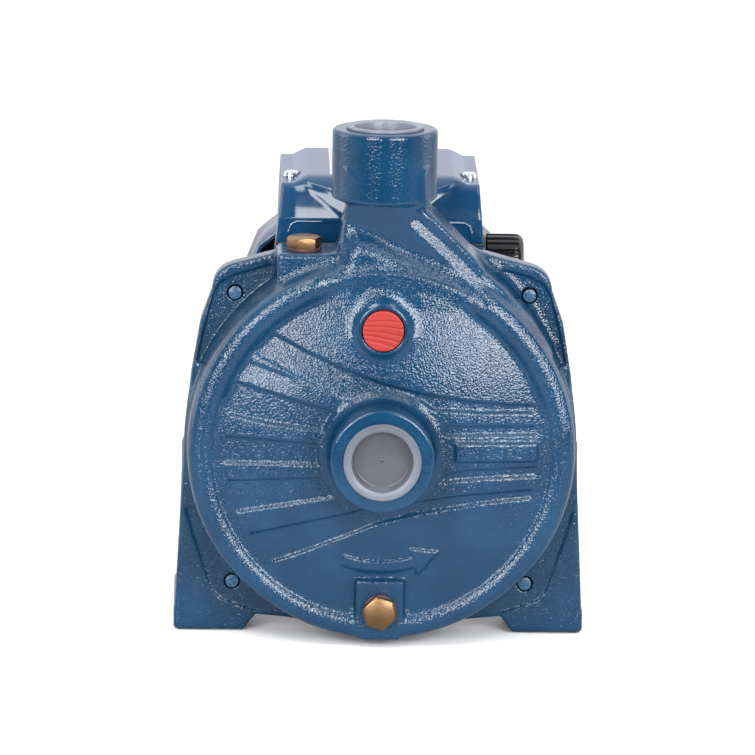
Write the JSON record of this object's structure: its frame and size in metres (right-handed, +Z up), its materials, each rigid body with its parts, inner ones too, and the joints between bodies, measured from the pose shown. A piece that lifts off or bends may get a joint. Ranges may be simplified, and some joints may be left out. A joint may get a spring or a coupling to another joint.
{
  "type": "centrifugal water pump",
  "caption": "Close-coupled centrifugal water pump with end suction, top discharge, volute casing on two feet, finned motor and terminal box.",
  "frame": {"origin": "on the base plane, midway between the two foot holes", "axes": "+X to the right seen from the suction side, +Y back along the shaft to the motor, +Z up"},
  "size_m": [0.19, 0.2862, 0.2402],
  "materials": {
    "casting_blue": "hammered gloss enamel",
    "bracket_blue": "gloss enamel",
    "housing_blue": "gloss enamel",
    "cover_blue": "smooth gloss enamel",
    "box_blue": "smooth gloss",
    "cap_white": "translucent polyethylene",
    "plug_red": "satin",
    "brass": "machined",
    "fibre_red": "fibre",
    "rubber_black": "matt",
    "zinc_steel": "zinc plated",
    "stainless": "machined",
    "bearing_steel": "ground",
    "lamination": "varnished laminations",
    "bare_aluminium": "die cast",
    "copper": "enamelled wire",
    "ceramic_white": "lapped ceramic",
    "carbon_black": "lapped carbon",
    "plastic_black": "moulded",
    "plastic_cream": "moulded",
    "plastic_grey": "moulded",
    "label_foil": "blank foil"
  },
  "bodies": {
    "pump": {"pump_body": "casting_blue", "casing_bolts": "zinc_steel", "casing_bolt_washers": "zinc_steel", "body_o_ring": "rubber_black", "backplate": "stainless", "seal_seat": "ceramic_white", "seal_seat_cup": "rubber_black", "motor_bracket": "bracket_blue", "front_bearing_outer": "bearing_steel", "rear_bearing_outer": "bearing_steel", "wave_spring": "stainless", "stator_core": "lamination", "stator_winding": "copper", "motor_housing": "housing_blue", "rear_shield": "bare_aluminium", "tie_rods": "zinc_steel", "tie_rod_nuts": "zinc_steel", "fan_cover": "cover_blue", "fan_cover_screws": "zinc_steel", "terminal_box_base": "box_blue", "box_gasket": "rubber_black", "terminal_box_cover": "box_blue", "cover_screws": "zinc_steel", "terminal_block": "plastic_cream", "terminal_studs": "brass", "capacitor": "plastic_grey", "capacitor_clamp": "zinc_steel", "gland_body": "plastic_black", "gland_locknut": "plastic_black", "earth_screw": "brass", "rating_plate": "label_foil"},
    "rotor": {"shaft": "stainless", "impeller": "brass", "impeller_nut": "stainless", "impeller_washer": "stainless", "impeller_key": "stainless", "seal_head": "carbon_black", "seal_spring": "stainless", "water_slinger": "rubber_black", "rotor_core": "lamination", "rotor_end_rings": "bare_aluminium", "front_bearing_inner": "bearing_steel", "rear_bearing_inner": "bearing_steel", "fan": "plastic_black", "fan_clip": "stainless"},
    "front_cage": {"front_bearing_balls": "bearing_steel"},
    "rear_cage": {"rear_bearing_balls": "bearing_steel"},
    "suction_cap": {"suction_cap": "cap_white"},
    "discharge_cap": {"discharge_cap": "cap_white"},
    "gauge_cap": {"gauge_cap": "plug_red"},
    "priming_washer": {"priming_washer": "fibre_red"},
    "priming_plug": {"priming_plug": "brass"},
    "drain_washer": {"drain_washer": "fibre_red"},
    "drain_plug": {"drain_plug": "brass"},
    "gland_seal": {"gland_seal": "rubber_black"},
    "gland_nut": {"gland_nut": "plastic_black"}
  },
  "joints": [
    {"name": "rotor_spin", "type": "hinge", "parent": "pump", "child": "rotor", "pos_m": [0, 0, 0.091], "axis": [0, -1, 0], "continuous": true},
    {"name": "front_cage_spin", "type": "hinge", "parent": "pump", "child": "front_cage", "pos_m": [0, 0.01, 0.091], "axis": [0, -1, 0], "continuous": true},
    {"name": "rear_cage_spin", "type": "hinge", "parent": "pump", "child": "rear_cage", "pos_m": [0, 0.1465, 0.091], "axis": [0, -1, 0], "continuous": true},
    {"name": "suction_cap_pull", "type": "slide", "parent": "pump", "child": "suction_cap", "axis": [0, -1, 0], "range_m": [0, 0.03]},
    {"name": "discharge_cap_pull", "type": "slide", "parent": "pump", "child": "discharge_cap", "axis": [0, 0, 1], "range_m": [0, 0.03]},
    {"name": "gauge_cap_pull", "type": "slide", "parent": "pump", "child": "gauge_cap", "axis": [0, -1, 0], "range_m": [0, 0.012]},
    {"name": "priming_plug_lift", "type": "slide", "parent": "pump", "child": "priming_washer", "axis": [0, 0, 1], "range_m": [0, 0.0095]},
    {"name": "priming_plug_turn", "type": "hinge", "parent": "priming_washer", "child": "priming_plug", "pos_m": [-0.0365, -0.046, 0.182], "axis": [0, 0, 1], "range_deg": [0, 2520]},
    {"name": "drain_plug_draw", "type": "slide", "parent": "pump", "child": "drain_washer", "axis": [0, -1, 0], "range_m": [0, 0.0095]},
    {"name": "drain_plug_turn", "type": "hinge", "parent": "drain_washer", "child": "drain_plug", "pos_m": [0, -0.067, 0.0168], "axis": [0, -1, 0], "range_deg": [0, 2520]},
    {"name": "gland_nut_draw", "type": "slide", "parent": "pump", "child": "gland_seal", "axis": [1, 0, 0], "range_m": [0, 0.0046]},
    {"name": "gland_nut_turn", "type": "hinge", "parent": "gland_seal", "child": "gland_nut", "pos_m": [0.0476, 0.04, 0.1633], "axis": [1, 0, 0], "range_deg": [0, 1080]}
  ],
  "couplings": [
    {"joint": "front_cage_spin", "follows": "rotor_spin", "ratio": 0.3911},
    {"joint": "rear_cage_spin", "follows": "rotor_spin", "ratio": 0.392},
    {"joint": "priming_plug_lift", "follows": "priming_plug_turn", "m_per_rad": 0.00021279},
    {"joint": "drain_plug_draw", "follows": "drain_plug_turn", "m_per_rad": 0.00021279},
    {"joint": "gland_nut_draw", "follows": "gland_nut_turn", "m_per_rad": 0.00023873}
  ]
}
